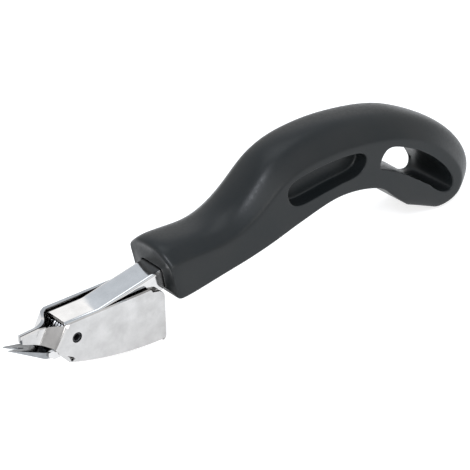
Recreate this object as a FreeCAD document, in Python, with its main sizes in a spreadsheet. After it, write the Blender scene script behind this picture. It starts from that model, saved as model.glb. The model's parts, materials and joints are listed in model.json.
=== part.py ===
import FreeCAD, Part
import Sketcher
import math
import os

# Heavy-duty staple remover: a sprung pair of jaws on a long curved handle.
# Every piece is drawn in the tool's own frame: the pivot pin's axis is the origin, X runs
# back along the tool, Y across it and Z up. At the end all pieces get one placement that
# stands the tool on its rocker and its tail, centred over the origin.

doc = FreeCAD.newDocument("StapleRemover")
V = FreeCAD.Vector

# driving sizes, mm
sizeGroups = {
    "Rocker shell": {
        "shell_width": 16.0,        # across the two side plates
        "shell_sheet": 1.2,         # sheet thickness
        "shell_bend": 1.1,          # outside radius where plates turn into the bottom
        "plate_top": 6.45,          # top edge above the pivot
        "plate_front": 4.5,         # top front corner, ahead of the pivot
        "plate_rear": 39.3,         # rear edge, behind the pivot
        "front_lean": 0.54,         # forward lean of the front edges, per mm down
        "front_foot": 1.7,          # where the leaning front edge ends, below the pivot
        "lip_front": 2.9,           # front lip of the bottom, ahead of the pivot
        "lip_drop": 9.8,            # front lip of the bottom, below the pivot
        "heel_drop": 16.6,          # lowest rear point of the rocker, below the pivot
        "rocker_radius": 140.0,     # curve of the bottom
        "heel_corner": 1.6,         # size of the rear bottom corner
        "shoulder_radius": 3.1,     # rear top corner
        "shoulder_step": 1.7,       # step down from the top edge to the rear top corner
        "shoulder_run": 6.1,        # length of that step
    },
    "Nose": {
        "nose_width": 2.8,          # across its two plates
        "nose_setback": 2.9,        # how far the inward walls run forward
        "nose_reach": 18.8,         # tip, ahead of the pivot
        "nose_tip_top": 4.0,
        "nose_tip_low": 1.4,
        "nose_apex": 4.6,           # top edge where the nose leaves the walls
        "nose_root_low": 1.4,       # bottom edge at the walls, below the pivot
    },
    "Lever": {
        "lever_gap": 0.6,           # side clearance to the shell
        "lever_sheet": 1.2,
        "lever_bend": 1.5,          # outside radius of its top corners
        "web_front": 3.0,           # front edge of the web, ahead of the pivot
        "web_height": 5.9,          # front part of the web above the pivot
        "fold_at": 11.7,            # the web starts to rise here
        "web_rise": 0.2026,         # rise per mm behind the fold
        "tang_depth": 7.8,          # height of the channel inside the handle
        "tang_length": 36.0,        # how far the channel goes into the handle
        "wall_reach": 11.1,         # lower front corner of the walls, ahead of the pivot
        "wall_heel": 6.6,           # lowest point of the walls, below the pivot
    },
    "Claw": {
        "claw_reach": 25.2,         # tips, ahead of the pivot
        "claw_tip_height": 1.7,
        "claw_tip_edge": 0.25,      # thickness left at the tips
        "claw_tip_spread": 1.95,    # outer half width at the tips
        "claw_notch_half": 1.45,    # half width of the notch between the tips
        "claw_notch_length": 7.7,
        "claw_root": 12.0,          # where the prongs reach full width, ahead of the pivot
        "claw_ear": 2.0,            # thickness of its two ears
        "rivet_radius": 1.5,
        "rivet_back": 8.5,          # rivet behind the pivot
        "rivet_drop": 1.0,          # rivet below the pivot
    },
    "Pivot": {
        "pin_radius": 2.05,
        "pin_wall": 0.8,
        "pin_recess": 0.2,          # each end below the plate's face
        "pin_slot": 0.6,
        "running_gap": 0.05,        # radial clearance on the pin
        "sleeve_wall": 0.7,
        "wire_radius": 0.5,
        "coil_pitch": 1.2,          # least distance from turn to turn
        "coil_gap": 0.15,           # radial room between coil and sleeve
        "leg_gap": 0.15,            # the spring's legs clear the sheet by this
        "lower_leg": 22.0,          # reach of the leg on the shell's bottom
        "upper_leg": 10.0,          # reach of the leg under the web
    },
    "Handle": {
        "handle_width": 26.0,
        "collar_foot_back": 42.3,   # bottom of its front face, behind the pivot
        "collar_foot_up": 2.2,
        "collar_head_back": 39.0,   # top of its front face
        "collar_head_up": 16.8,
        "grip_length": 156.0,       # from the collar to the back of the tail
        "grip_rise": 30.0,          # from the collar's head to the crest
        "grip_depth": 28.0,         # palm to crest where the grip is fullest
        "crown_height": 9.4,        # crest above the flat sides
        "palm_radius": 1.5,         # rounding of the bottom edges
        "neck_lift": 1.6,           # underside of the neck above the collar's foot
        "socket_gap": 0.15,         # room round the tang
        "pocket_depth": 7.0,        # side pockets
    },
    "Tang screw": {
        "screw_radius": 2.0,
        "screw_head_radius": 3.5,
        "screw_head_height": 2.0,
        "screw_recess": 1.2,        # depth and half length of its cross recess
        "screw_back": 58.0,         # behind the pivot
        "screw_sunk": 1.0,          # head above the handle's underside
        "screw_gap": 0.2,           # room round it in the handle
    },
}

sheet = doc.addObject("Spreadsheet::Sheet", "Sizes")
row = 1
for groupName, group in sizeGroups.items():
    sheet.set("A%d" % row, groupName)
    row += 1
    for alias, value in group.items():
        sheet.set("A%d" % row, alias)
        sheet.set("B%d" % row, str(value))
        sheet.setAlias("B%d" % row, alias)
        row += 1
doc.recompute()


class Size:
    """A number together with the sheet formula it comes from, so a sketch can use both."""

    def __init__(self, value, formula):
        self.value = float(value)
        self.formula = formula

    def combine(self, other, sign, value):
        return Size(value, "(%s %s %s)" % (self.formula, sign, asSize(other).formula))

    def __add__(self, other):
        return self.combine(other, "+", self.value + asSize(other).value)

    def __sub__(self, other):
        return self.combine(other, "-", self.value - asSize(other).value)

    def __mul__(self, other):
        return self.combine(other, "*", self.value * asSize(other).value)

    def __truediv__(self, other):
        return self.combine(other, "/", self.value / asSize(other).value)

    def __neg__(self):
        return Size(-self.value, "(0 - %s)" % self.formula)

    def root(self):
        return Size(math.sqrt(self.value), "sqrt(%s)" % self.formula)


def asSize(number):
    return number if isinstance(number, Size) else Size(number, "%.6g" % number)


def size(alias):
    return Size(sheet.get(alias), "Sizes.%s" % alias)


zero = asSize(0.0)


# sketching helpers
def newBody(label):
    body = doc.addObject("PartDesign::Body", label)
    body.Label = label
    return body


def addSketch(body, name, plane="XZ_Plane"):
    """A sketch on one of the body's own planes. On XZ the sketch's axes are X and Z."""
    sketch = body.newObject("Sketcher::SketchObject", name)
    support = [feature for feature in body.Origin.OriginFeatures if feature.Role == plane][0]
    sketch.AttachmentSupport = [(support, "")]
    sketch.MapMode = "FlatFace"
    return sketch


def vector(point):
    return V(point[0].value, point[1].value, 0)


def bindConstraint(sketch, constraint, formula):
    index = sketch.addConstraint(constraint)
    sketch.setExpression("Constraints[%d]" % index, formula)


def holdPoint(sketch, geometry, end, point):
    """Tie one end of a curve to the sketch's origin by its two distances."""
    for direction, distance in (("DistanceX", point[0]), ("DistanceY", point[1])):
        constraint = Sketcher.Constraint(direction, -1, 1, geometry, end, distance.value)
        bindConstraint(sketch, constraint, distance.formula)


def bulgedMiddle(start, end, radius, side):
    """The middle of an arc from start to end. With side 1 it bulges to the right of its
    path, with side -1 to the left."""
    chord = end - start
    half = chord.Length / 2.0
    sagitta = radius - math.sqrt(radius * radius - half * half)
    across = V(chord.y, -chord.x, 0).normalize()
    return (start + end) * 0.5 + across * (sagitta * side)


def drawOutline(sketch, start, *stretches):
    """A closed outline. Each stretch is ("line", end), ("arc", end, radius), which bulges
    to the right of the path, ("hollow", end, radius), which bulges to its left, or
    ("spline", pole, pole, ..., end)."""
    first = last = None
    current = vector(start)
    for number, stretch in enumerate(stretches):
        kind = stretch[0]
        isArc = kind in ("arc", "hollow")
        poles = stretch[1:2] if isArc else stretch[1:]
        end = vector(poles[-1])
        if kind == "line":
            curve = Part.LineSegment(current, end)
        elif isArc:
            side = 1 if kind == "arc" else -1
            curve = Part.Arc(current, bulgedMiddle(current, end, stretch[2].value, side), end)
        else:
            curve = Part.BSplineCurve()
            curve.buildFromPoles([current] + [vector(pole) for pole in poles], False, 3)
        index = sketch.addGeometry(curve, False)
        startsAt = 1 if (sketch.getPoint(index, 1) - current).Length < 1e-6 else 2
        endsAt = 3 - startsAt
        if isArc:
            radius = stretch[2]
            bindConstraint(sketch, Sketcher.Constraint("Radius", index, radius.value), radius.formula)
        if kind == "spline":
            holdPoles(sketch, index, poles[:-1])
        if last is None:
            first = (index, startsAt)
            holdPoint(sketch, index, startsAt, start)
        else:
            sketch.addConstraint(Sketcher.Constraint("Coincident", last[0], last[1], index, startsAt))
        if number == len(stretches) - 1:
            sketch.addConstraint(Sketcher.Constraint("Coincident", index, endsAt, first[0], first[1]))
        else:
            holdPoint(sketch, index, endsAt, poles[-1])
        last = (index, endsAt)
        current = end


def holdPoles(sketch, spline, poles):
    """Hold a spline's inner control points, as the weight circles that a sketch shows."""
    firstCircle = None
    for number, pole in enumerate(poles):
        circle = sketch.addGeometry(Part.Circle(vector(pole), V(0, 0, 1), 1.0), True)
        alignment = "InternalAlignment:Sketcher::BSplineControlPoint"
        sketch.addConstraint(Sketcher.Constraint(alignment, circle, 3, spline, number + 1))
        if firstCircle is None:
            sketch.addConstraint(Sketcher.Constraint("Weight", circle, 1.0))
            firstCircle = circle
        else:
            sketch.addConstraint(Sketcher.Constraint("Equal", firstCircle, circle))
        holdPoint(sketch, circle, 3, pole)


def drawPolygon(sketch, *corners):
    drawOutline(sketch, corners[0], *[("line", corner) for corner in corners[1:] + corners[:1]])


def drawCircle(sketch, centre, radius):
    circle = sketch.addGeometry(Part.Circle(vector(centre), V(0, 0, 1), radius.value), False)
    bindConstraint(sketch, Sketcher.Constraint("Radius", circle, radius.value), radius.formula)
    holdPoint(sketch, circle, 3, centre)


def addPad(body, sketch, name, length, direction=None):
    """A pad of the given whole length, half to each side of its sketch."""
    pad = body.newObject("PartDesign::Pad", name)
    pad.Profile = sketch
    pad.SideType = "Symmetric"
    pad.setExpression("Length", length.formula)
    if direction:
        pad.UseCustomVector = True
        for axis, amount in zip("xyz", direction):
            pad.setExpression("Direction.%s" % axis, amount.formula)
    doc.recompute()
    return pad


def addPocket(body, sketch, name, length=None):
    """A pocket to both sides of its sketch, through everything if it has no length."""
    before = body.Shape.Volume
    pocket = body.newObject("PartDesign::Pocket", name)
    pocket.Profile = sketch
    pocket.SideType = "Symmetric"
    if length:
        pocket.Type = "Length"
        pocket.setExpression("Length", length.formula)
    else:
        pocket.Type = "ThroughAll"
    doc.recompute()
    if not body.Shape.Volume < before - 1e-6:
        raise RuntimeError("pocket %s removes nothing" % name)
    return pocket


def addFillet(body, name, radius, chosen):
    """Round the edges of the body's tip for which chosen(edge) holds."""
    tip = body.Tip
    edges = ["Edge%d" % (number + 1) for number, edge in enumerate(tip.Shape.Edges) if chosen(edge)]
    if not edges:
        raise RuntimeError("fillet %s finds no edge" % name)
    fillet = body.newObject("PartDesign::Fillet", name)
    fillet.Base = (tip, edges)
    fillet.setExpression("Radius", radius.formula)
    doc.recompute()
    return fillet


def near(number, target):
    return abs(number - target) < 0.02


def mirrored(corners):
    """The same corners on the other side of the tool's centre plane."""
    return [(x, -y) for x, y in corners]


# sizes that pieces share
shellWidth = size("shell_width")
shellSheet = size("shell_sheet")
leverWidth = shellWidth - shellSheet * 2 - size("lever_gap") * 2
leverInside = leverWidth - size("lever_sheet") * 2
earInside = leverInside - size("claw_ear") * 2
pinRadius = size("pin_radius")
turningRadius = pinRadius + size("running_gap")
sleeveRadius = turningRadius + size("sleeve_wall")
pivot = (zero, zero)
rivetCentre = (size("rivet_back"), -size("rivet_drop"))
foldAt = size("fold_at")
webHeight = size("web_height")
webRise = size("web_rise")
collarFoot = (size("collar_foot_back"), size("collar_foot_up"))
collarHead = (size("collar_head_back"), size("collar_head_up"))
tangEnd = collarFoot[0] + size("tang_length")
tangDepth = size("tang_depth")
neckFloor = collarFoot[1] + size("neck_lift")
screwBack = size("screw_back")
screwHeadLow = neckFloor + size("screw_sunk")
screwHeadTop = screwHeadLow + size("screw_head_height")


def webTop(x):
    """Height of the rising part of the lever's web, at x behind the pivot."""
    return webHeight + (x - foldAt) * webRise


screwTop = webTop(screwBack) - size("lever_sheet") / 2


# rocker shell
def makeRockerShell():
    """One folded sheet: two side plates, a curved bottom to roll on, and at the front
    two walls that turn inward and run on as the two plates of the nose."""
    body = newBody("rocker_shell")
    plateRear = size("plate_rear")
    plateTop = size("plate_top")
    lean = size("front_lean")
    lipX = -size("lip_front")
    lipZ = -size("lip_drop")
    heelZ = -size("heel_drop")
    heelX = plateRear - size("heel_corner")
    margin = 4.0

    bottom = addSketch(body, "BottomBand")
    bandTop = lipZ + shellSheet
    drawOutline(bottom, (lipX - margin, bandTop + 0.7),
                ("line", (lipX, bandTop)),
                ("arc", (heelX, heelZ + shellSheet), size("rocker_radius") - shellSheet),
                ("line", (plateRear + margin, heelZ + shellSheet)),
                ("line", (plateRear + margin, heelZ - margin)),
                ("line", (lipX - margin, heelZ - margin)),
                ("line", (lipX - margin, bandTop + 0.7)))
    addPad(body, bottom, "Bottom", shellWidth)

    # seen from above: a plate, its inward wall and its nose plate, all one sheet thick
    bendX = -(size("plate_front") + lean * plateTop)
    apexX = bendX - size("nose_setback")
    outerY = shellWidth / 2
    noseY = size("nose_width") / 2
    slope = (outerY - noseY) / size("nose_setback")
    mitre = shellSheet * ((slope * slope + 1).root() - 1) / slope
    noseEnd = -(size("nose_reach") + margin)
    wallEnd = plateRear + lean * size("heel_drop") + margin
    wall = [(wallEnd, outerY), (bendX, outerY), (apexX, noseY), (noseEnd, noseY),
            (noseEnd, noseY - shellSheet), (apexX + mitre, noseY - shellSheet),
            (bendX + mitre, outerY - shellSheet), (wallEnd, outerY - shellSheet)]
    walls = addSketch(body, "WallBands", "XY_Plane")
    drawPolygon(walls, *wall)
    drawPolygon(walls, *mirrored(wall))
    addPad(body, walls, "Walls", (plateTop + size("heel_drop")) * 3, (lean, zero, asSize(1.0)))

    # seen from the side: everything outside this outline is trimmed away
    trim = addSketch(body, "SideTrim")
    far = size("heel_drop") * 4
    drawPolygon(trim, (-far, -far), (plateRear + far, -far), (plateRear + far, far), (-far, far))
    footX = -(size("plate_front") + lean * (plateTop + size("front_foot")))
    stepX = plateRear - size("shoulder_run")
    stepZ = plateTop - size("shoulder_step")
    drawOutline(trim, (-size("plate_front"), plateTop),
                ("line", (apexX + lean * size("nose_apex"), size("nose_apex"))),
                ("line", (-size("nose_reach"), size("nose_tip_top"))),
                ("line", (-size("nose_reach"), size("nose_tip_low"))),
                ("line", (apexX - lean * size("nose_root_low") * 0.7, -size("nose_root_low"))),
                ("line", (footX, -size("front_foot"))),
                ("line", (footX + 1.1, -size("front_foot") - 2.6)),
                ("line", (lipX + 0.7, lipZ + 2.6)),
                ("line", (lipX + 1.7, lipZ + 1.4)),
                ("line", (lipX, lipZ + 0.9)),
                ("line", (lipX, lipZ)),
                ("arc", (heelX, heelZ), size("rocker_radius")),
                ("arc", (plateRear, heelZ + size("heel_corner")), size("heel_corner") * 1.5),
                ("line", (plateRear, stepZ - size("shoulder_radius"))),
                ("arc", (plateRear - size("shoulder_radius"), stepZ), size("shoulder_radius")),
                ("line", (stepX + 0.8, stepZ + 0.5)),
                ("line", (stepX, plateTop)),
                ("line", (-size("plate_front"), plateTop)))
    addPocket(body, trim, "Trim")

    bore = addSketch(body, "PinHole")
    drawCircle(bore, pivot, pinRadius)
    addPocket(body, bore, "PinBore")

    half = shellWidth.value / 2
    lowest = -size("lip_drop").value

    def alongTheRocker(edge):
        box = edge.BoundBox
        return near(abs(box.YMin), half) and near(box.YLength, 0) \
            and box.ZMax < lowest + 0.1 and edge.Length > 2

    addFillet(body, "BottomBend", size("shell_bend"), alongTheRocker)
    return body


# lever
def makeLever():
    """A folded channel, open below, that hangs on the pivot pin between the shell's plates
    and runs back into the handle as its tang."""
    body = newBody("lever")
    corner = collarFoot[0] - 1.3
    outline = addSketch(body, "LeverSide")
    drawPolygon(outline,
                (-size("web_front"), webHeight),
                (foldAt, webHeight),
                (tangEnd, webTop(tangEnd)),
                (tangEnd, webTop(tangEnd) - tangDepth),
                (corner, webTop(corner) - tangDepth),
                (corner - 0.6, collarFoot[1] + 1.1),
                (corner - 2.2, collarFoot[1] + 0.8),
                (asSize(4.0), -size("wall_heel") + 0.6),
                (-size("wall_reach") + 2.4, -size("wall_heel")),
                (-size("wall_reach"), -size("wall_heel") + 1.8),
                (-size("wall_reach") + 0.1, -size("wall_heel") + 3.4),
                (-size("wall_reach") + 4.6, -size("wall_heel") + 3.7),
                (-size("web_front") - 2.0, webHeight - 4.4))
    addPad(body, outline, "LeverBlock", leverWidth)

    inside = addSketch(body, "LeverInside")
    under = size("lever_sheet")
    frontX = -(size("wall_reach") + 4.0)
    rearX = tangEnd + 4.0
    drawPolygon(inside,
                (frontX, webHeight - under),
                (foldAt, webHeight - under),
                (rearX, webTop(rearX) - under),
                (rearX, -size("wall_heel") * 3),
                (frontX, -size("wall_heel") * 3))
    addPocket(body, inside, "Channel", leverInside)

    holes = addSketch(body, "LeverHoles")
    drawCircle(holes, pivot, turningRadius)
    drawCircle(holes, rivetCentre, size("rivet_radius"))
    addPocket(body, holes, "CrossHoles")

    tapped = addSketch(body, "ScrewHole", "XY_Plane")
    drawCircle(tapped, (screwBack, zero), size("screw_radius"))
    addPocket(body, tapped, "TappedHole")

    half = leverWidth.value / 2
    topAtFront = webHeight.value

    def alongTheTop(edge):
        box = edge.BoundBox
        return near(abs(box.YMin), half) and near(box.YLength, 0) \
            and box.ZMin > topAtFront - 0.05 and edge.Length > 9

    addFillet(body, "TopBends", size("lever_bend"), alongTheTop)
    return body


# claw
def makeClaw():
    """The forked lower jaw: a wedge with two pointed prongs in front, and behind it two
    ears that lie inside the lever's walls on the pin and on a rivet."""
    body = newBody("claw")
    tipX = -size("claw_reach")
    tipZ = size("claw_tip_height")
    rootX = -size("claw_root")
    heelZ = -(size("wall_heel") - 0.2)
    outline = addSketch(body, "ClawSide")
    drawPolygon(outline,
                (tipX, tipZ),
                (rootX, tipZ - (rootX - tipX) * 0.355),
                (rootX + 6.5, tipZ - (rootX - tipX) * 0.355 - 1.3),
                (rootX + 7.6, asSize(0.5)),
                (-turningRadius - 0.9, asSize(3.4)),
                (turningRadius + 1.0, asSize(3.9)),
                (rivetCentre[0] + 2.2, asSize(1.8)),
                (rivetCentre[0] + 3.2, -size("rivet_drop") - 1.6),
                (asSize(4.0), heelZ + 0.9),
                (rootX + 3.6, heelZ),
                (rootX, heelZ + 0.8),
                (tipX, tipZ - size("claw_tip_edge")))
    addPad(body, outline, "ClawBlock", leverInside)

    hollow = addSketch(body, "EarGap")
    floorZ = heelZ + 1.7
    drawPolygon(hollow,
                (rootX + 1.5, webHeight * 2),
                (rootX + 1.5, floorZ + 1.3),
                (rootX + 5.5, floorZ),
                (asSize(-0.5), floorZ),
                (asSize(-0.5), heelZ - 3.0),
                (rivetCentre[0] + 8.0, heelZ - 3.0),
                (rivetCentre[0] + 8.0, webHeight * 2))
    addPocket(body, hollow, "BetweenEars", earInside)

    halfRoot = leverInside / 2
    plan = addSketch(body, "ProngPlan", "XY_Plane")
    drawPolygon(plan,
                (tipX - 1.0, size("claw_notch_half") + 0.15),
                (tipX - 1.0, -size("claw_notch_half") - 0.15),
                (tipX + size("claw_notch_length"), -size("claw_tip_edge")),
                (tipX + size("claw_notch_length"), size("claw_tip_edge")))
    flare = [(tipX - 1.0, size("claw_tip_spread") - 0.25),
             (rootX, halfRoot),
             (rootX, halfRoot + 3.0),
             (tipX - 1.0, halfRoot + 3.0)]
    drawPolygon(plan, *flare)
    drawPolygon(plan, *mirrored(flare))
    addPocket(body, plan, "Prongs")

    holes = addSketch(body, "ClawHoles")
    drawCircle(holes, pivot, turningRadius)
    drawCircle(holes, rivetCentre, size("rivet_radius"))
    addPocket(body, holes, "ClawBores")
    return body


# rivet, pin, sleeve, spring
def makeClawRivet():
    """A plain rivet, flush at both ends, that locks the claw in the lever."""
    rivet = doc.addObject("Part::Cylinder", "claw_rivet")
    rivet.Label = "claw_rivet"
    rivet.setExpression("Radius", "Sizes.rivet_radius")
    rivet.setExpression("Height", leverWidth.formula)
    rivet.Placement = FreeCAD.Placement(
        V(rivetCentre[0].value, leverWidth.value / 2, rivetCentre[1].value),
        FreeCAD.Rotation(V(1, 0, 0), 90))
    return rivet


def makePivotPin():
    """A slotted spring pin, driven through both plates and just below their faces."""
    body = newBody("pivot_pin")
    ring = addSketch(body, "PinRing")
    drawCircle(ring, pivot, pinRadius)
    drawCircle(ring, pivot, pinRadius - size("pin_wall"))
    length = shellWidth - size("pin_recess") * 2
    addPad(body, ring, "PinTube", length)
    slot = addSketch(body, "PinSlot")
    halfSlot = size("pin_slot") / 2
    drawPolygon(slot, (zero, -halfSlot), (pinRadius * 2, -halfSlot), (pinRadius * 2, halfSlot),
                (zero, halfSlot))
    addPocket(body, slot, "Slot")

    def outerRim(edge):
        return near(edge.BoundBox.YLength, 0) and edge.Length > pinRadius.value * 5

    addFillet(body, "PinEnds", size("pin_wall") / 3, outerRim)
    return body


def makePivotSleeve():
    """The spacer tube on the pin that holds the claw's ears apart and carries the coil."""
    body = newBody("pivot_sleeve")
    ring = addSketch(body, "SleeveRing")
    drawCircle(ring, pivot, sleeveRadius)
    drawCircle(ring, pivot, turningRadius)
    addPad(body, ring, "SleeveTube", earInside)
    return body


def arcHeight(start, end, radius, x):
    """Height at x of the arc from start to end that bulges downwards."""
    chord = end - start
    half = chord.Length / 2.0
    towardsCentre = V(-chord.y, chord.x, 0).normalize()
    centre = (start + end) * 0.5 + towardsCentre * math.sqrt(radius * radius - half * half)
    return centre.y - math.sqrt(radius * radius - (x - centre.x) ** 2)


def makeReturnSpring():
    """A torsion spring round the sleeve. One leg pushes the shell's bottom down behind the
    pivot and the other lifts the lever's web, so the jaws open by themselves."""
    wire = size("wire_radius").value
    clearance = wire + size("leg_gap").value
    coilRadius = sleeveRadius.value + size("coil_gap").value + wire
    halfCoil = earInside.value / 2 - wire - size("coil_gap").value
    sheetTop = size("shell_sheet").value
    lip = V(-size("lip_front").value, sheetTop - size("lip_drop").value, 0)
    heel = V(size("plate_rear").value - size("heel_corner").value,
             sheetTop - size("heel_drop").value, 0)
    innerCurve = size("rocker_radius").value - sheetTop
    lowerX = size("lower_leg").value
    upperX = size("upper_leg").value
    lowerEnd = V(lowerX, -halfCoil, arcHeight(lip, heel, innerCurve, lowerX) + clearance)
    upperEnd = V(upperX, halfCoil, webHeight.value - size("lever_sheet").value - clearance)

    def bearing(point):
        return math.atan2(point.z, point.x)

    def tangentTurn(point):
        return math.acos(coilRadius / math.hypot(point.x, point.z))

    # the wire comes in under the coil, winds clockwise as seen from the near side, and
    # leaves over the top
    startAngle = bearing(lowerEnd) - tangentTurn(lowerEnd)
    endAngle = bearing(upperEnd) + tangentTurn(upperEnd)
    partTurn = ((startAngle - endAngle) / (2 * math.pi)) % 1.0
    turns = max(math.floor(2 * halfCoil / size("coil_pitch").value - partTurn), 1) + partTurn
    pitch = 2 * halfCoil / turns
    helix = Part.makeHelix(pitch, 2 * halfCoil, coilRadius)
    helix.rotate(V(0, 0, 0), V(1, 0, 0), -90)
    helix.translate(V(0, -halfCoil, 0))
    helix.rotate(V(0, 0, 0), V(0, 1, 0), -math.degrees(startAngle))
    startPoint = V(coilRadius * math.cos(startAngle), -halfCoil, coilRadius * math.sin(startAngle))
    endPoint = V(coilRadius * math.cos(endAngle), halfCoil, coilRadius * math.sin(endAngle))
    edge = helix.Edges[0]
    along = edge.tangentAt(edge.FirstParameter)
    section = Part.Wire(Part.makeCircle(wire, startPoint, along))
    coil = Part.Wire(helix.Edges).makePipeShell([section], True, True)
    pieces = []
    for coilEnd, legEnd in ((startPoint, lowerEnd), (endPoint, upperEnd)):
        pieces.append(Part.makeSphere(wire, coilEnd))
        pieces.append(Part.makeCylinder(wire, (legEnd - coilEnd).Length, coilEnd, legEnd - coilEnd))
    spring = doc.addObject("Part::Feature", "return_spring")
    spring.Label = "return_spring"
    spring.Shape = coil.multiFuse(pieces)
    return spring


# handle
# Cross-sections of the grip from the collar round to the tail's underside. Each gives where
# its lowest point is, as shares of the grip's length and rise from the collar's head, its
# lean in degrees, and its height, half width and crown as shares of the full ones.
gripSections = (
    (0.021, -0.487, -11, 0.66, 0.97, 0.50),
    (0.054, -0.493, -5, 0.69, 1.00, 0.53),
    (0.099, -0.462, -3, 0.635, 0.98, 0.53),
    (0.154, -0.417, -8, 0.58, 0.97, 0.53),
    (0.215, -0.367, -14, 0.60, 0.98, 0.60),
    (0.276, -0.303, -18, 0.71, 0.99, 0.72),
    (0.340, -0.217, -19, 0.895, 1.00, 0.87),
    (0.397, -0.130, -15, 1.04, 1.00, 0.96),
    (0.458, -0.057, -8, 1.04, 1.00, 1.00),
    (0.522, -0.007, 3, 1.00, 1.00, 1.00),
    (0.583, -0.033, 18, 1.00, 1.00, 1.00),
    (0.631, -0.100, 37, 1.07, 1.00, 1.02),
    (0.660, -0.180, 57, 1.20, 1.00, 1.06),
    (0.677, -0.260, 72, 1.41, 1.00, 1.11),
    (0.692, -0.340, 83, 1.57, 1.00, 1.11),
    (0.706, -0.403, 92, 1.60, 1.00, 1.02),
    (0.721, -0.460, 102, 1.42, 1.00, 0.81),
    (0.735, -0.513, 109.5, 1.03, 0.98, 0.57),
    (0.747, -0.560, 116, 0.69, 0.92, 0.38),
)


def drawGripSection(body, number, section):
    """A flat-sided section with a rounded crown and small round lower corners, square to
    the grip's run."""
    along, up, lean, depthShare, widthShare, crownShare = section
    sketch = addSketch(body, "GripSection%02d" % number, "YZ_Plane")
    sketch.AttachmentOffset = FreeCAD.Placement(V(0, 0, 0), FreeCAD.Rotation(V(1, 0, 0), lean))
    lowX, lowZ = gripPoint(along, up)
    sketch.setExpression("AttachmentOffset.Base.y", lowZ.formula)
    sketch.setExpression("AttachmentOffset.Base.z", lowX.formula)
    depth = size("grip_depth") * depthShare
    half = size("handle_width") / 2 * widthShare
    crown = size("crown_height") * crownShare
    rounding = size("palm_radius")
    shoulder = depth - crown * 0.4
    inset = half * 0.62
    drawOutline(sketch, (half, rounding),
                ("line", (half, depth - crown)),
                ("spline", (half, shoulder), (inset, depth), (-inset, depth), (-half, shoulder),
                 (-half, depth - crown)),
                ("line", (-half, rounding)),
                ("arc", (-half + rounding, zero), rounding),
                ("line", (half - rounding, zero)),
                ("arc", (half, rounding), rounding))
    return sketch


def gripPoint(along, up):
    """A point of the grip, as shares of its length and of its rise."""
    return (collarHead[0] + size("grip_length") * along, collarHead[1] + size("grip_rise") * up)


def makeHandle():
    """The one-piece moulded grip: flat sides, a rounded crown, a flared collar in front,
    a pocket in each side and a window through the curled tail."""
    body = newBody("handle")
    length = size("grip_length")
    width = size("handle_width")
    sections = [drawGripSection(body, number, section) for number, section in enumerate(gripSections)]
    doc.recompute()
    loft = body.newObject("PartDesign::AdditiveLoft", "Grip")
    loft.Profile = sections[0]
    loft.Sections = sections[1:]
    doc.recompute()

    window = addSketch(body, "TailWindow")
    endRadius = length * 0.038
    drawOutline(window, gripPoint(0.657, 0.1),
                ("hollow", gripPoint(0.860, -0.58), length * 0.6),
                ("arc", gripPoint(0.890, -0.367), endRadius),
                ("arc", gripPoint(0.673, 0.407), length * 0.4),
                ("arc", gripPoint(0.657, 0.1), endRadius))
    addPocket(body, window, "Window")

    for side in (1, -1):
        pocket = addSketch(body, "SidePocket" + ("Far" if side > 0 else "Near"))
        pocket.setExpression("AttachmentOffset.Base.z", (-(width / 2) * side).formula)
        drawOutline(pocket, gripPoint(0.381, 0.07),
                    ("line", gripPoint(0.587, 0.173)),
                    ("arc", gripPoint(0.583, 0.493), endRadius),
                    ("line", gripPoint(0.391, 0.46)),
                    ("arc", gripPoint(0.381, 0.07), endRadius * 1.1))
        addPocket(body, pocket, "Pocket" + ("Far" if side > 0 else "Near"), size("pocket_depth") * 2)

    # the socket for the tang, with the core that stands inside the channel
    gap = size("socket_gap")
    mouth = collarHead[0] - 6.0
    bottom = tangEnd + gap
    socket = addSketch(body, "SocketSide")
    drawPolygon(socket,
                (mouth, webTop(mouth) + gap),
                (bottom, webTop(bottom) + gap),
                (bottom, webTop(bottom) - tangDepth - gap),
                (mouth, webTop(mouth) - tangDepth - gap))
    addPocket(body, socket, "Socket", leverWidth + gap * 2)
    core = addSketch(body, "CoreSide")
    coreFront = collarFoot[0] + 4.0
    under = size("lever_sheet") + gap
    coreEnd = tangEnd + 1.0
    drawPolygon(core,
                (coreFront, webTop(coreFront) - under),
                (coreEnd, webTop(coreEnd) - under),
                (coreEnd, webTop(coreEnd) - tangDepth - 1.0),
                (coreFront, webTop(coreFront) - tangDepth - 1.0))
    addPad(body, core, "Core", leverInside - gap * 2)

    # holes for the screw's shank and head, from below
    for name, radius, top in (("Shank", size("screw_radius"), screwTop),
                              ("Head", size("screw_head_radius"), screwHeadTop)):
        hole = addSketch(body, name + "Circle", "XY_Plane")
        drawCircle(hole, (screwBack, zero), radius + size("screw_gap"))
        addPocket(body, hole, name + "Hole", top * 2)
    return body


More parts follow.
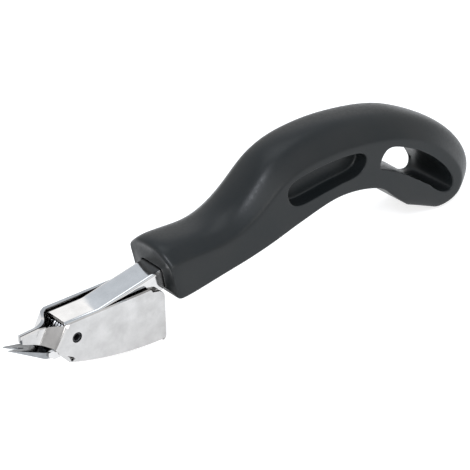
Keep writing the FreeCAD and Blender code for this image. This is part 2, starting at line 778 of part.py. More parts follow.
def makeTangScrew():
    """The pan-head screw that comes up through the handle's underside into the tang."""
    def cylinder(name, radius, low, top):
        piece = doc.addObject("Part::Cylinder", name)
        piece.setExpression("Radius", radius.formula)
        piece.setExpression("Height", (top - low).formula)
        piece.setExpression("Placement.Base.x", screwBack.formula)
        piece.setExpression("Placement.Base.z", low.formula)
        return piece

    head = cylinder("ScrewHead", size("screw_head_radius"), screwHeadLow, screwHeadTop)
    shank = cylinder("ScrewShank", size("screw_radius"), screwHeadTop, screwTop)
    solid = doc.addObject("Part::Fuse", "ScrewBody")
    solid.Base = head
    solid.Tool = shank
    arm = size("screw_recess") * 2
    slot = asSize(0.7)
    for number, (alongX, alongY) in enumerate(((arm, slot), (slot, arm))):
        bar = doc.addObject("Part::Box", "RecessBar%d" % number)
        bar.setExpression("Length", alongX.formula)
        bar.setExpression("Width", alongY.formula)
        bar.setExpression("Height", arm.formula)
        bar.setExpression("Placement.Base.x", (screwBack - alongX / 2).formula)
        bar.setExpression("Placement.Base.y", (-alongY / 2).formula)
        bar.setExpression("Placement.Base.z", (screwHeadLow - size("screw_recess")).formula)
        cut = doc.addObject("Part::Cut", "ScrewCut%d" % number)
        cut.Base = solid
        cut.Tool = bar
        solid = cut
    solid.Label = "tang_screw"
    return solid


# assembly
def lowest(piece, angle):
    """Height of a piece's lowest point once the tool is turned by angle about the pivot."""
    shape = piece.Shape.copy()
    shape.rotate(V(0, 0, 0), V(0, 1, 0), angle)
    return shape.optimalBoundingBox().ZMin


def restingAngle(shell, handle):
    """The turn about the pivot that brings the rocker and the tail to the same level."""
    low, high = 0.0, 20.0
    for halving in range(20):
        middle = (low + high) / 2.0
        if lowest(handle, middle) > lowest(shell, middle):
            low = middle
        else:
            high = middle
    return low


pieces = [makeRockerShell(), makePivotPin(), makeLever(), makeClaw(), makeClawRivet(),
          makePivotSleeve(), makeReturnSpring(), makeHandle(), makeTangScrew()]
doc.recompute()
turn = restingAngle(pieces[0], pieces[7])
whole = Part.makeCompound([piece.Shape for piece in pieces])
whole.rotate(V(0, 0, 0), V(0, 1, 0), turn)
box = whole.optimalBoundingBox()
stand = FreeCAD.Placement(V(-box.Center.x, 0, -box.ZMin), FreeCAD.Rotation(V(0, 1, 0), turn))
for piece in pieces:
    piece.Placement = stand.multiply(piece.Placement)
doc.recompute()

for item in doc.Objects:
    if "Invalid" in item.State or "Error" in item.State:
        raise RuntimeError("%s failed: %s" % (item.Name, item.State))
os.makedirs("parts", exist_ok=True)
for piece in pieces:
    shape = piece.Shape
    if shape.isNull() or not shape.isValid() or len(shape.Solids) != 1:
        raise RuntimeError("%s is not one valid solid" % piece.Label)
    shape.exportStep("parts/%s.step" % piece.Label)
    print("%-14s volume %9.1f mm3" % (piece.Label, shape.Volume))
pivotPoint = stand.multVec(V(0, 0, 0))
print("resting turn %.3f deg, pivot at (%.3f, %.3f, %.3f)" % ((turn,) + tuple(pivotPoint)))
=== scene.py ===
import json
import math
import bmesh
import bpy
from mathutils import Matrix, Vector


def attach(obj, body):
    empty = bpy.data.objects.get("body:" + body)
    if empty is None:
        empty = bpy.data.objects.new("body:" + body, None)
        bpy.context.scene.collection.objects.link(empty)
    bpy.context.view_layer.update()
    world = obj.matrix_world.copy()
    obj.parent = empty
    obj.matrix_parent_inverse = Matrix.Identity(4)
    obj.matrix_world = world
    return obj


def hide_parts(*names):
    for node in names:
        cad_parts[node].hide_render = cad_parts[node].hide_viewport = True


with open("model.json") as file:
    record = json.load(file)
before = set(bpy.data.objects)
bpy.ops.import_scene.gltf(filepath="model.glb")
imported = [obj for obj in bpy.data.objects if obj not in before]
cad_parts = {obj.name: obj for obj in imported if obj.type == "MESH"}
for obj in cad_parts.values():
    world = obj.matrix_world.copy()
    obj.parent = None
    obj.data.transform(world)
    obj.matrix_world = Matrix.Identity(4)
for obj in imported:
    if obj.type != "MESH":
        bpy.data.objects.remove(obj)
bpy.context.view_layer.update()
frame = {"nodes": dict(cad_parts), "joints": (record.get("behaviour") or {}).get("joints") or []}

# Pieces are modelled in millimetres in the tool's own frame: the pivot is the origin,
# x runs back along the tool, y across it and z up. toRow tips them by the resting turn,
# in degrees, and puts them on the stand.
standing = {"turn": 3.302}
pivot = Vector(frame["joints"][0]["pos_m"])
toRow = (Matrix.Translation(pivot) @ Matrix.Rotation(math.radians(standing["turn"]), 4, "Y")
         @ Matrix.Scale(0.001, 4))
scene = bpy.context.scene


def placed(bm, name, body, material):
    # turns a finished bmesh into a piece that rides on a body
    bmesh.ops.transform(bm, matrix=toRow, verts=bm.verts)
    mesh = bpy.data.meshes.new(name)
    for face in bm.faces:
        face.smooth = True
    bm.to_mesh(mesh)
    bm.free()
    piece = bpy.data.objects.new(name, mesh)
    scene.collection.objects.link(piece)
    piece.data.materials.append(material)
    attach(piece, body)
    return piece


def roundEdges(piece, width, segments=3, sharpest=35):
    # small radii on the cut edges, with the flats kept flat
    bevel = piece.modifiers.new("EdgeRadius", "BEVEL")
    bevel.width = width * 0.001
    bevel.segments = segments
    bevel.limit_method = "ANGLE"
    bevel.angle_limit = math.radians(sharpest)
    weighted = piece.modifiers.new("FlatNormals", "WEIGHTED_NORMAL")
    weighted.keep_sharp = True


def thicken(piece, sheet):
    solid = piece.modifiers.new("Sheet", "SOLIDIFY")
    solid.thickness = sheet * 0.001
    solid.offset = -1
    solid.use_even_offset = True


def arcPoints(start, end, radius, steps, side):
    # points after start along an arc to end; side 1 bulges to the right of the path
    a, b = Vector(start), Vector(end)
    chord = b - a
    across = Vector((chord.y, -chord.x)).normalized() * side
    centre = (a + b) / 2 - across * math.sqrt(radius * radius - chord.length_squared / 4)
    first, last = a - centre, b - centre
    turn = first.angle_signed(last)
    points = []
    for step in range(1, steps + 1):
        arm = first.copy()
        arm.rotate(Matrix.Rotation(-turn * step / steps, 2))
        points.append(tuple(centre + arm))
    return points


def drawnSheet(bm, outline, y, holes=()):
    # a flat sheet in the side plane at y, with round holes; returns its outline's vertices
    verts = [bm.verts.new((x, y, z)) for x, z in outline]
    edges = [bm.edges.new((verts[i - 1], verts[i])) for i in range(len(verts))]
    for x, z, radius in holes:
        spot = Matrix.Translation((x, y, z)) @ Matrix.Rotation(math.pi / 2, 4, "X")
        circle = bmesh.ops.create_circle(bm, segments=36, radius=radius, matrix=spot)
        edges += list({edge for vert in circle["verts"] for edge in vert.link_edges})
    bmesh.ops.triangle_fill(bm, use_beauty=True, edges=edges)
    return verts


def pulled(bm, verts, offset):
    # extrudes the run of edges through these vertices and returns the new ones, in order
    edges = [bm.edges.get((a, b)) for a, b in zip(verts, verts[1:])]
    made = bmesh.ops.extrude_edge_only(bm, edges=edges)["geom"]
    fresh = [item for item in made if isinstance(item, bmesh.types.BMVert)]
    ordered = [min(fresh, key=lambda v: (v.co - old.co).length) for old in verts]
    bmesh.ops.translate(bm, vec=offset, verts=fresh)
    return ordered


def bothSides(bm):
    bmesh.ops.mirror(bm, geom=bm.verts[:] + bm.edges[:] + bm.faces[:], matrix=Matrix.Identity(4),
                     merge_dist=0.001, axis="Y")
    bmesh.ops.remove_doubles(bm, verts=bm.verts, dist=0.001)
    bmesh.ops.recalc_face_normals(bm, faces=bm.faces)


def faceOutwards(bm, sideY):
    # an open sheet's normals point away from the middle plane
    total = sum(face.normal.y * face.calc_area() for face in bm.faces
                if face.calc_center_median().y < -sideY)
    if total > 0:
        bmesh.ops.reverse_faces(bm, faces=bm.faces)


# how a fold is told from other edges: radians between its faces, and millimetres
fold = {"least": 0.6, "near": 0.01, "reach": 0.1, "across": 1}


def isFold(edge, half):
    # a sharp edge that lies in one of the two side planes
    inPlane = all(abs(abs(vert.co.y) - half) < fold["near"] for vert in edge.verts)
    return inPlane and edge.calc_face_angle() > fold["least"]


def bend(bm, amount, segments, chosen):
    edges = [edge for edge in bm.edges if len(edge.link_faces) == 2 and chosen(edge)]
    bmesh.ops.bevel(bm, geom=edges, offset=amount, offset_type="OFFSET", segments=segments,
                    profile=0.5, affect="EDGES", material=-1, clamp_overlap=False)


def newMaterial(name, colour, metallic, roughness):
    material = bpy.data.materials.new(name)
    material.use_nodes = True
    nodes, links = material.node_tree.nodes, material.node_tree.links
    shader = nodes["Principled BSDF"]
    shader.inputs["Base Color"].default_value = (*colour, 1)
    shader.inputs["Metallic"].default_value = metallic
    shader.inputs["Roughness"].default_value = roughness
    place = nodes.new("ShaderNodeTexCoord")
    return material, nodes, links, shader, place.outputs["Object"]


def noise(nodes, links, where, scale, detail=3.0, roughness=0.5):
    texture = nodes.new("ShaderNodeTexNoise")
    texture.inputs["Scale"].default_value = scale
    texture.inputs["Detail"].default_value = detail
    texture.inputs["Roughness"].default_value = roughness
    links.new(where, texture.inputs["Vector"])
    return texture.outputs["Fac"]


def spread(nodes, links, value, low, high, fromLow=0.3, fromHigh=0.7):
    ranged = nodes.new("ShaderNodeMapRange")
    ranged.inputs["From Min"].default_value = fromLow
    ranged.inputs["From Max"].default_value = fromHigh
    ranged.inputs["To Min"].default_value = low
    ranged.inputs["To Max"].default_value = high
    links.new(value, ranged.inputs["Value"])
    return ranged.outputs["Result"]


def bump(nodes, links, height, strength, distance, before=None):
    node = nodes.new("ShaderNodeBump")
    node.inputs["Strength"].default_value = strength
    node.inputs["Distance"].default_value = distance
    links.new(height, node.inputs["Height"])
    if before:
        links.new(before, node.inputs["Normal"])
    return node.outputs["Normal"]


def blendColours(nodes, links, amount, first, second):
    mix = nodes.new("ShaderNodeMix")
    mix.data_type = "RGBA"
    mix.inputs[6].default_value = (*first, 1)
    mix.inputs[7].default_value = (*second, 1)
    links.new(amount, mix.inputs[0])
    return mix.outputs[2]


def stretched(nodes, links, where, factors):
    mapping = nodes.new("ShaderNodeMapping")
    mapping.inputs["Scale"].default_value = factors
    links.new(where, mapping.inputs["Vector"])
    return mapping.outputs["Vector"]


def edgeHighlight(nodes, links, low, high):
    # painted highlight: brighter where the surface turns sharply
    geometry = nodes.new("ShaderNodeNewGeometry")
    return spread(nodes, links, geometry.outputs["Pointiness"], 0, 1, low, high)


def chromeFinish(name, bright, dull, roughLow, roughHigh):
    material, nodes, links, shader, where = newMaterial(name, bright, 1.0, roughLow)
    cloud = noise(nodes, links, where, 110, 4, 0.6)
    links.new(blendColours(nodes, links, spread(nodes, links, cloud, 0, 1), bright, dull),
              shader.inputs["Base Color"])
    smear = noise(nodes, links, stretched(nodes, links, where, (90, 400, 900)), 1.0, 4)
    links.new(spread(nodes, links, smear, roughLow, roughHigh), shader.inputs["Roughness"])
    polish = noise(nodes, links, stretched(nodes, links, where, (300, 1500, 4000)), 1.0, 3)
    waves = noise(nodes, links, where, 140, 1)
    first = bump(nodes, links, polish, 0.02, 0.0001)
    links.new(bump(nodes, links, waves, 0.05, 0.0002, first), shader.inputs["Normal"])
    return material


def mouldedGrip():
    material, nodes, links, shader, where = newMaterial(
        "mouldedGrip", (0.008, 0.010, 0.011), 0.0, 0.38)
    cloud = noise(nodes, links, where, 45, 4)
    colour = blendColours(nodes, links, spread(nodes, links, cloud, 0, 1),
                          (0.006, 0.008, 0.009), (0.010, 0.011, 0.0115))
    # painted highlight: sharp edges and creases are mixed towards a lighter grey
    edgeShine = edgeHighlight(nodes, links, 0.51, 0.56)
    edgeShineMix = nodes.new("ShaderNodeMix")
    edgeShineMix.data_type = "RGBA"
    links.new(edgeShine, edgeShineMix.inputs[0])
    links.new(colour, edgeShineMix.inputs[6])
    edgeShineMix.inputs[7].default_value = (0.018, 0.020, 0.021, 1)
    links.new(edgeShineMix.outputs[2], shader.inputs["Base Color"])
    grain = noise(nodes, links, where, 5200, 2)
    mould = noise(nodes, links, where, 900, 2)
    links.new(spread(nodes, links, mould, 0.31, 0.42), shader.inputs["Roughness"])
    fine = bump(nodes, links, grain, 0.10, 0.00006)
    links.new(bump(nodes, links, mould, 0.05, 0.0001, fine), shader.inputs["Normal"])
    shader.inputs["Specular IOR Level"].default_value = 0.22
    return material


def speckled(name, colour, metallic, roughness, scale, colours, roughRange, relief):
    # a fine-grained metal whose spots set its colour, its gloss and its relief
    material, nodes, links, shader, where = newMaterial(name, colour, metallic, roughness)
    spots = noise(nodes, links, where, scale, 3)
    links.new(blendColours(nodes, links, spread(nodes, links, spots, 0, 1), *colours),
              shader.inputs["Base Color"])
    links.new(spread(nodes, links, spots, *roughRange), shader.inputs["Roughness"])
    links.new(bump(nodes, links, spots, *relief), shader.inputs["Normal"])
    return material


# painted shade: the shell's chrome gets a darker base colour than the lever's, though both are the
# same plated sheet
shadedChromeSheet = chromeFinish("shadedChromeSheet", (0.52, 0.514, 0.51), (0.39, 0.384, 0.38), 0.07, 0.15)
chromeLever = chromeFinish("chromeLever", (0.62, 0.615, 0.61), (0.52, 0.515, 0.512), 0.05, 0.11)
# painted shade and dark reflection: the claw's chrome gets a base colour far darker than the other
# chrome
shadedChromeClaw = chromeFinish("shadedChromeClaw", (0.34, 0.35, 0.36), (0.12, 0.125, 0.13), 0.05, 0.18)
gripPlastic = mouldedGrip()
oxide = speckled("blackOxide", (0.02, 0.02, 0.022), 0.7, 0.3, 1800,
                 ((0.015, 0.015, 0.017), (0.04, 0.04, 0.043)), (0.22, 0.42), (0.1, 0.00005))
zinc = speckled("zincPlate", (0.62, 0.62, 0.6), 1.0, 0.3, 900,
                ((0.55, 0.55, 0.54), (0.68, 0.68, 0.64)), (0.22, 0.4), (0.12, 0.00004))
wire = speckled("springWire", (0.45, 0.45, 0.46), 1.0, 0.25, 2600,
                ((0.38, 0.38, 0.39), (0.55, 0.55, 0.55)), (0.18, 0.34), (0.1, 0.00003))
print("materials ready")


# rocker shell: one folded sheet
shell = {
    "half": 8.0, "sheet": 1.2, "top": 6.45, "rear": 39.3, "frontTop": -4.5, "lean": 0.54,
    "foot": -1.7, "lip": (-2.9, -9.8), "heel": (37.7, -16.6), "rocker": 140.0, "corner": 2.4,
    "shoulder": 3.1, "noseHalf": 1.4, "setback": 2.9, "apex": 4.6, "root": -1.4,
    "tip": -18.8, "tipTop": 4.0, "tipLow": 1.4, "bottomBend": 1.5, "frontBend": 1.5,
    "noseBend": 2.6, "pinHole": 2.06, "edge": 0.28, "step": 1.7, "notch": (6.1, 5.3),
    "notchRise": 0.5, "heelRise": 1.6, "arcSteps": (6, 4, 12), "footCut": (1.1, 2.6),
    "lipCut": ((0, 0.9), (1.7, 1.4), (0.7, 2.6)), "bottomBelow": -8, "frontBefore": -4,
}


def makeRockerShell():
    s = shell
    lipX, lipZ = s["lip"]
    heelX, heelZ = s["heel"]
    frontX = s["frontTop"] - s["lean"] * s["top"]
    footX = frontX + s["lean"] * s["foot"]
    stepZ = s["top"] - s["step"]
    notchFront, notchBack = s["notch"]
    shoulderSteps, cornerSteps, rockerSteps = s["arcSteps"]
    plate = [(s["frontTop"], s["top"]), (s["rear"] - notchFront, s["top"]),
             (s["rear"] - notchBack, stepZ + s["notchRise"]), (s["rear"] - s["shoulder"], stepZ)]
    plate += arcPoints(plate[-1], (s["rear"], stepZ - s["shoulder"]), s["shoulder"],
                       shoulderSteps, -1)
    plate += [(s["rear"], heelZ + s["heelRise"])]
    plate += arcPoints(plate[-1], (heelX, heelZ), s["corner"], cornerSteps, -1)
    arcFrom = len(plate) - 1
    plate += arcPoints(plate[-1], (lipX, lipZ), s["rocker"], rockerSteps, -1)
    arcTo = len(plate) - 1
    plate += [(lipX + back, lipZ + rise) for back, rise in s["lipCut"]]
    plate += [(footX + s["footCut"][0], s["foot"] - s["footCut"][1]), (footX, s["foot"])]
    bm = bmesh.new()
    verts = drawnSheet(bm, plate, -s["half"], [(0, 0, s["pinHole"])])
    pulled(bm, verts[arcFrom:arcTo + 1], (0, s["half"], 0))
    wall = pulled(bm, [verts[0], verts[-1]], (-s["setback"], s["half"] - s["noseHalf"], 0))
    apexX = frontX - s["setback"]
    wall[0].co = (apexX + s["lean"] * s["apex"], -s["noseHalf"], s["apex"])
    wall[1].co = (apexX + s["lean"] * s["root"], -s["noseHalf"], s["root"])
    nose = pulled(bm, wall, (0, 0, 0))
    nose[0].co = (s["tip"], -s["noseHalf"], s["tipTop"])
    nose[1].co = (s["tip"], -s["noseHalf"], s["tipLow"])
    bothSides(bm)
    faceOutwards(bm, s["half"] - 1)
    half, noseHalf = s["half"], s["noseHalf"]
    bend(bm, s["bottomBend"], 5, lambda edge: isFold(edge, half)
         and all(vert.co.z < s["bottomBelow"] for vert in edge.verts))
    bend(bm, s["frontBend"], 5, lambda edge: isFold(edge, half)
         and edge.verts[0].co.x < s["frontBefore"])
    bend(bm, s["noseBend"], 7, lambda edge: isFold(edge, noseHalf))
    piece = placed(bm, "rockerShell", "rocker", shadedChromeSheet)
    thicken(piece, s["sheet"])
    roundEdges(piece, s["edge"])
    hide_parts("rocker_shell")


makeRockerShell()
print("rocker shell folded")


# lever: a channel, open below
lever = {
    "half": 5.8, "sheet": 1.2, "bend": 1.3, "front": -3.0, "height": 5.9, "foldAt": 11.7,
    "foldBend": 2.5, "rise": 0.2026, "depth": 7.8, "end": 78.0, "corner": 41.0, "edge": 0.22,
    "pinHole": 2.1, "rivet": (8.5, -1.0, 1.5), "step": ((0.6, 3.3), (2.2, 3.0)),
    "underside": ((4.0, -6.0), (-8.7, -6.6), (-11.1, -4.8), (-11.0, -3.2), (-6.5, -2.9),
                  (-5.0, 1.5)),
}


def webTop(x):
    return lever["height"] + (x - lever["foldAt"]) * lever["rise"]


def makeLever():
    s = lever
    side = [(s["front"], s["height"]), (s["foldAt"], s["height"]), (s["end"], webTop(s["end"])),
            (s["end"], webTop(s["end"]) - s["depth"]),
            (s["corner"], webTop(s["corner"]) - s["depth"])]
    side += [(s["corner"] - forward, z) for forward, z in s["step"]]
    side += s["underside"]
    bm = bmesh.new()
    verts = drawnSheet(bm, side, -s["half"], [(0, 0, s["pinHole"]), s["rivet"]])
    pulled(bm, verts[:3], (0, s["half"], 0))
    bothSides(bm)
    faceOutwards(bm, s["half"] - 1)
    half = s["half"]
    bend(bm, s["bend"], 5, lambda edge: isFold(edge, half)
         and all(vert.co.z > s["height"] - fold["reach"] for vert in edge.verts))
    bend(bm, s["foldBend"], 5, lambda edge:
         all(abs(vert.co.x - s["foldAt"]) < fold["reach"] for vert in edge.verts)
         and abs(edge.verts[0].co.y - edge.verts[1].co.y) > fold["across"])
    piece = placed(bm, "leverChannel", "grip", chromeLever)
    thicken(piece, s["sheet"])
    roundEdges(piece, s["edge"])
    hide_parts("lever")


makeLever()
print("lever folded")


# claw
claw = {"edge": 0.12, "weld": 0.00001, "flat": 1.0}


def fromNode(name):
    # a merged copy of a designed node, back in millimetres in the tool's frame
    bm = bmesh.new()
    bm.from_mesh(frame["nodes"][name].data)
    bmesh.ops.remove_doubles(bm, verts=bm.verts, dist=claw["weld"])
    bmesh.ops.dissolve_limit(bm, angle_limit=math.radians(claw["flat"]), verts=bm.verts,
                             edges=bm.edges)
    bmesh.ops.transform(bm, matrix=toRow.inverted(), verts=bm.verts)
    return bm


def makeClaw():
    bm = fromNode("claw")
    piece = placed(bm, "forkedClaw", "grip", shadedChromeClaw)
    roundEdges(piece, claw["edge"], 2)
    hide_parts("claw")


makeClaw()
print("claw forked")


# pivot pin: a rolled spring pin with its slot facing back
pin = {"outer": 2.05, "inner": 1.2, "half": 7.8, "lead": 0.35, "slot": 18.0, "steps": 40,
       "innerLead": 0.15, "shoulder": 0.1, "edge": 0.05}


def makePivotPin():
    s = pin
    bm = bmesh.new()
    profile = [(s["inner"], -s["half"] + s["innerLead"]), (s["inner"] + s["innerLead"], -s["half"]),
               (s["outer"] - s["lead"], -s["half"]),
               (s["outer"] - s["shoulder"], -s["half"] + s["lead"]),
               (s["outer"], -s["half"] + s["lead"] * 2)]
    profile += [(r, -y) for r, y in reversed(profile)]
    verts = [bm.verts.new((r, y, 0)) for r, y in profile]
    edges = [bm.edges.new((verts[i - 1], verts[i])) for i in range(len(verts))]
    bmesh.ops.rotate(bm, verts=verts, cent=(0, 0, 0),
                     matrix=Matrix.Rotation(math.radians(s["slot"] / 2), 3, "Y"))
    bmesh.ops.spin(bm, geom=verts + edges, cent=(0, 0, 0), axis=(0, 1, 0),
                   angle=math.radians(360 - s["slot"]), steps=s["steps"], use_merge=False)
    bmesh.ops.holes_fill(bm, edges=[edge for edge in bm.edges if edge.is_boundary], sides=0)
    bmesh.ops.recalc_face_normals(bm, faces=bm.faces)
    piece = placed(bm, "pivotPin", "rocker", oxide)
    roundEdges(piece, s["edge"], 2)
    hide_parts("pivot_pin")


makePivotPin()
print("pivot pin rolled")


# grip: stations from the collar round the tail. Each holds its low point, its crest,
# its half width, its crown, and how far up its sides the rims of the recesses run
grip = {
    "corner": 1.3, "socketHalf": 5.95, "socketGap": 0.1, "socketBacks": (0.0, 0.7, 9.0),
    "mouthAt": 40.2, "mouthLean": -0.18, "mouthLevel": 7, "levels": 3,
    "pocket": (8, 12), "pocketRim": 0.6, "pocketDepth": 6.0, "window": (13, 19), "windowRim": 1.0,
    "windowDeep": 5.0, "lip": 1.2, "capInset": 2.0, "capDepth": 0.4, "sideRow": 4,
    "stations": (
        ((42.2, 2.2), (39.3, 17.6), 11.2, 4.6, 4.5, 8.0),
        ((42.2, 1.0), (37.6, 19.9), 12.6, 5.6, 5.0, 8.5),
        ((44.4, 0.7), (39.9, 22.0), 13.0, 6.2, 5.0, 9.0),
        ((54.5, 2.1), (53.2, 20.9), 12.8, 5.0, 6.0, 9.5),
        ((63.0, 3.5), (60.8, 20.5), 12.7, 5.0, 6.0, 9.0),
        ((72.5, 5.0), (68.6, 22.2), 12.8, 5.6, 7.0, 10.0),
        ((82.0, 6.9), (76.3, 27.2), 12.9, 6.8, 7.5, 11.0),
        ((90.0, 9.0), (82.4, 32.9), 13.0, 7.9, 8.3, 15.3),
        ((97.0, 11.1), (88.9, 38.9), 13.0, 8.6, 8.0, 19.2),
        ((104.0, 12.8), (98.2, 42.9), 13.0, 9.2, 5.9, 19.2),
        ((112.0, 14.9), (108.4, 44.3), 13.0, 9.4, 4.9, 17.9),
        ((120.5, 16.2), (121.8, 44.7), 13.0, 9.4, 4.6, 16.6),
        ((130.2, 15.1), (138.6, 42.5), 13.0, 9.4, 6.1, 17.0),
        ((134.4, 14.0), (147.2, 40.6), 13.0, 9.5, 7.4, 17.3),
        ((137.5, 13.2), (155.8, 38.0), 13.0, 9.5, 7.0, 19.0),
        ((142.0, 11.3), (170.6, 30.5), 13.0, 9.4, 7.8, 21.5),
        ((144.6, 8.8), (182.8, 22.0), 13.0, 10.6, 9.9, 25.4),
        ((147.0, 6.4), (190.9, 12.8), 13.0, 11.4, 12.6, 28.7),
        ((149.2, 4.5), (194.9, 3.2), 13.0, 10.4, 16.2, 30.6),
        ((151.4, 2.6), (190.6, -5.6), 13.0, 8.0, 20.3, 28.3),
        ((153.6, 0.8), (181.6, -8.6), 12.7, 5.4, 11.0, 19.0),
        ((155.6, -0.8), (173.5, -8.8), 12.0, 3.6, 7.0, 12.5),
    ),
}


def sectionHalf(half, depth, crown, rimLow, rimHigh):
    # one side of a section, from the underside up over the crease to the crest
    low = min(grip["corner"], rimLow * 0.55)
    crease = depth - crown
    return [(half * 0.5, 0), (half - low, 0), (half, 0), (half, low), (half, rimLow),
            (half, rimHigh), (half, crease - 0.6), (half - 0.35, crease + 0.5),
            (half * 0.82, crease + crown * 0.36), (half * 0.57, depth - crown * 0.16),
            (half * 0.24, depth)]


def ringPoints(station):
    (lowX, lowZ), (crestX, crestZ), half, crown, rimLow, rimHigh = station
    up = Vector((crestX - lowX, 0, crestZ - lowZ))
    depth = up.length
    up.normalize()
    side = sectionHalf(half, depth, crown, rimLow, rimHigh)
    near = [Vector((lowX, -y, lowZ)) + up * rise for y, rise in side]
    far = [Vector((lowX, y, lowZ)) + up * rise for y, rise in side]
    return near + far[::-1]


def socketPoints(back):
    # the tang's slot, with as many points as a section, on a plane back from the collar
    s = grip
    half, gap = s["socketHalf"], s["socketGap"]
    x = s["mouthAt"] + back
    top, low = webTop(x) + gap, webTop(x) - lever["depth"] - gap
    high = top - low
    side = [(half * 0.5, 0), (half - 0.4, 0), (half, 0), (half, 0.4), (half, high * 0.3),
            (half, high * 0.5), (half, high * 0.7), (half, high - 0.9), (half - 0.3, high - 0.3),
            (half - 0.9, high), (half * 0.3, high)]
    leans = [x + s["mouthLean"] * (rise + low - s["mouthLevel"]) for y, rise in side]
    near = [Vector((at, -y, low + rise)) for at, (y, rise) in zip(leans, side)]
    far = [Vector((at, y, low + rise)) for at, (y, rise) in zip(leans, side)]
    return near + far[::-1]


def closedLoop(bm, points):
    verts = [bm.verts.new(point) for point in points]
    for i in range(len(verts)):
        bm.edges.new((verts[i - 1], verts[i]))
    return verts


def ringEdges(bm, verts):
    return [bm.edges.get((verts[i - 1], verts[i])) for i in range(len(verts))]


def bridged(bm, first, second):
    return bmesh.ops.bridge_loops(bm, edges=ringEdges(bm, first) + ringEdges(bm, second))["faces"]


def sideFaces(bm, rings, first, last, side):
    # the faces of one flank from one station to another
    row = grip["sideRow"] if side < 0 else len(rings[0]) - 2 - grip["sideRow"]
    wanted = [{rings[n][row], rings[n][row + 1], rings[n + 1][row], rings[n + 1][row + 1]}
              for n in range(first, last)]
    return [face for face in bm.faces if set(face.verts) in wanted]


def makeGrip():
    s = grip
    bm = bmesh.new()
    rings = [closedLoop(bm, ringPoints(station)) for station in s["stations"]]
    for first, second in zip(rings, rings[1:]):
        bridged(bm, first, second)
    # the slot in the collar's face, and its blind end
    mouth = [closedLoop(bm, socketPoints(back)) for back in s["socketBacks"]]
    for first, second in zip([rings[0]] + mouth, mouth):
        bridged(bm, first, second)
    bmesh.ops.contextual_create(bm, geom=mouth[-1])
    # the tail's end: strips across it, with a rim for its rounding
    last, count = rings[-1], len(rings[-1])
    strips = []
    for row in range(count // 2 - 1):
        corners = [last[row], last[row + 1], last[count - 2 - row], last[count - 1 - row]]
        strips.append(bmesh.ops.contextual_create(bm, geom=corners)["faces"][0])
    bmesh.ops.inset_region(bm, faces=strips, thickness=s["capInset"], depth=s["capDepth"],
                           use_even_offset=True)
    bmesh.ops.recalc_face_normals(bm, faces=bm.faces)
    # pockets: blind recesses in both sides
    first, final = s["pocket"]
    for side in (-1, 1):
        floor = sideFaces(bm, rings, first, final, side)
        bmesh.ops.inset_region(bm, faces=floor, thickness=s["pocketRim"], depth=0,
                               use_even_offset=True)
        for depth in (s["lip"], s["pocketDepth"] - s["lip"]):
            sunk(bm, floor, depth, side)
        bmesh.ops.inset_region(bm, faces=floor, thickness=s["lip"], depth=0, use_even_offset=True)
    # the tail's window: both sides sink a little, then meet
    first, final = s["window"]
    mouths = []
    for side in (-1, 1):
        floor = sideFaces(bm, rings, first, final, side)
        bmesh.ops.inset_region(bm, faces=floor, thickness=s["windowRim"], depth=0,
                               use_even_offset=True)
        for depth in (s["lip"], s["windowDeep"]):
            sunk(bm, floor, depth, side)
        mouths += [edge for face in floor for edge in face.edges
                   if len([f for f in edge.link_faces if f in floor]) == 1]
        bmesh.ops.delete(bm, geom=floor, context="FACES")
        mouths = [edge for edge in mouths if edge.is_valid]
    bmesh.ops.bridge_loops(bm, edges=mouths)
    bmesh.ops.recalc_face_normals(bm, faces=bm.faces)
    piece = placed(bm, "grip", "grip", gripPlastic)
    rounded = piece.modifiers.new("Rounded", "SUBSURF")
    rounded.levels = s["levels"]
    rounded.render_levels = s["levels"]
    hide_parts("handle")


def sunk(bm, floor, depth, side):
    # pushes a recess's floor in towards the middle plane, leaving a wall behind it
    made = bmesh.ops.extrude_face_region(bm, geom=floor)["geom"]
    bmesh.ops.delete(bm, geom=floor, context="FACES_ONLY")
    floor[:] = [item for item in made if isinstance(item, bmesh.types.BMFace)]
    bmesh.ops.translate(bm, vec=(0, -side * depth, 0),
                        verts=list({vert for face in floor for vert in face.verts}))


makeGrip()
print("grip moulded")


# pieces that keep their designed shape
for nodeName, finish in (("claw_rivet", zinc), ("pivot_sleeve", zinc), ("return_spring", wire),
                         ("tang_screw", zinc)):
    node = frame["nodes"][nodeName]
    node.data.materials.clear()
    node.data.materials.append(finish)
print("small pieces finished")


# the stage, in metres: a pale floor that glows a little, just under the tool
stage = {"floor": 6.0, "drop": -0.0002, "cells": 8, "grey": 0.55, "roughness": 0.6, "glow": 0.7,
         "specular": 0.1}


def makeFloor():
    bm = bmesh.new()
    bmesh.ops.create_grid(bm, x_segments=stage["cells"], y_segments=stage["cells"],
                          size=stage["floor"])
    bmesh.ops.translate(bm, vec=(0, 0, stage["drop"]), verts=bm.verts)
    mesh = bpy.data.meshes.new("floor")
    bm.to_mesh(mesh)
    bm.free()
    floor = bpy.data.objects.new("floor", mesh)
    scene.collection.objects.link(floor)
    grey = stage["grey"]
    material = newMaterial("paleFloor", (grey, grey, grey), 0.0, stage["roughness"])[0]
    shader = material.node_tree.nodes["Principled BSDF"]
    shader.inputs["Emission Color"].default_value = (1, 1, 1, 1)
    shader.inputs["Emission Strength"].default_value = stage["glow"]
    shader.inputs["Specular IOR Level"].default_value = stage["specular"]
    floor.data.materials.append(material)


def softLight(name, place, aim, width, height, power, colour):
    data = bpy.data.lights.new(name, "AREA")
    data.shape = "RECTANGLE"
    data.size = width
    data.size_y = height
    data.energy = power
    data.color = colour
    light = bpy.data.objects.new(name, data)
    scene.collection.objects.link(light)
    light.location = place
    light.rotation_euler = (Vector(aim) - Vector(place)).to_track_quat("-Z", "Y").to_euler()


# the surroundings' brightness from straight below to straight above
sky = {"strength": 1.6, "stops": (
    (0.0, (0.45, 0.45, 0.45)), (0.25, (0.55, 0.55, 0.55)), (0.42, (0.72, 0.72, 0.72)),
    (0.46, (1.0, 1.0, 1.0)), (0.53, (1.0, 1.0, 1.0)), (0.58, (0.58, 0.62, 0.67)),
    (1.0, (0.40, 0.44, 0.48)))}


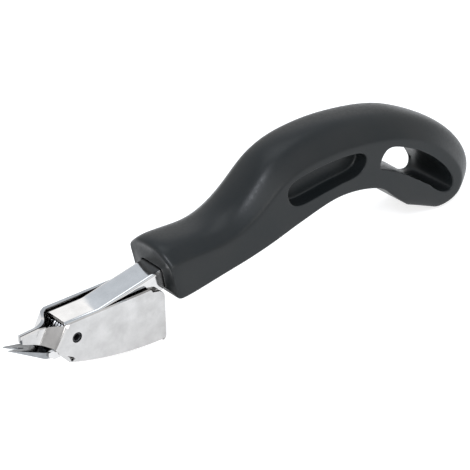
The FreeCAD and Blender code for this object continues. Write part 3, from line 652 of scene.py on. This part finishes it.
def makeWorld():
    world = bpy.data.worlds.new("studio")
    scene.world = world
    world.use_nodes = True
    nodes, links = world.node_tree.nodes, world.node_tree.links
    place = nodes.new("ShaderNodeTexCoord")
    split = nodes.new("ShaderNodeSeparateXYZ")
    links.new(place.outputs["Generated"], split.inputs["Vector"])
    ramp = nodes.new("ShaderNodeValToRGB")
    links.new(split.outputs["Z"], ramp.inputs["Fac"])
    stops = sky["stops"]
    ramp.color_ramp.elements[0].color = (*stops[0][1], 1)
    ramp.color_ramp.elements[1].color = (*stops[-1][1], 1)
    for position, colour in stops[1:-1]:
        ramp.color_ramp.elements.new(position).color = (*colour, 1)
    background = nodes["Background"]
    links.new(ramp.outputs["Color"], background.inputs["Color"])
    background.inputs["Strength"].default_value = sky["strength"]


makeFloor()
makeWorld()
for lamp in (("overhead", (0.1, 0.1, 1.1), (0, 0, 0), 0.9, 0.7, 3.5, (0.93, 0.97, 1.0)),
             ("nearSide", (-0.3, -1.1, 0.35), (0, 0, 0.02), 0.9, 0.5, 5, (1.0, 0.98, 0.96)),
             ("byTheView", (-0.52, -0.60, 0.88), (0, 0, 0.02), 0.22, 0.22, 5.5,
              (0.90, 0.93, 1.0))):
    softLight(*lamp)
print("stage lit")

# the view, in degrees and millimetres of the tool's own frame; near is in metres
view = {"azimuth": 38.88, "elevation": 29.24, "roll": -1.05, "distance": 900,
        "target": (78.8, 0, 9.1), "lens": 185.7, "sensor": 36, "near": 0.05}


def makeCamera():
    a, e = math.radians(view["azimuth"]), math.radians(view["elevation"])
    back = Vector((-math.sin(a) * math.cos(e), -math.cos(a) * math.cos(e), math.sin(e)))
    data = bpy.data.cameras.new("camera")
    data.lens = view["lens"]
    data.sensor_width = view["sensor"]
    data.clip_start = view["near"]
    camera = bpy.data.objects.new("camera", data)
    scene.collection.objects.link(camera)
    camera.location = toRow @ (Vector(view["target"]) + back * view["distance"])
    facing = (-back).to_track_quat("-Z", "Y").to_matrix().to_4x4()
    rolled = facing @ Matrix.Rotation(math.radians(view["roll"]), 4, "Z")
    standTurn = Matrix.Rotation(math.radians(standing["turn"]), 4, "Y")
    camera.rotation_euler = (standTurn @ rolled).to_euler()
    scene.camera = camera


makeCamera()
scene.view_settings.view_transform = "Standard"
print("camera set")
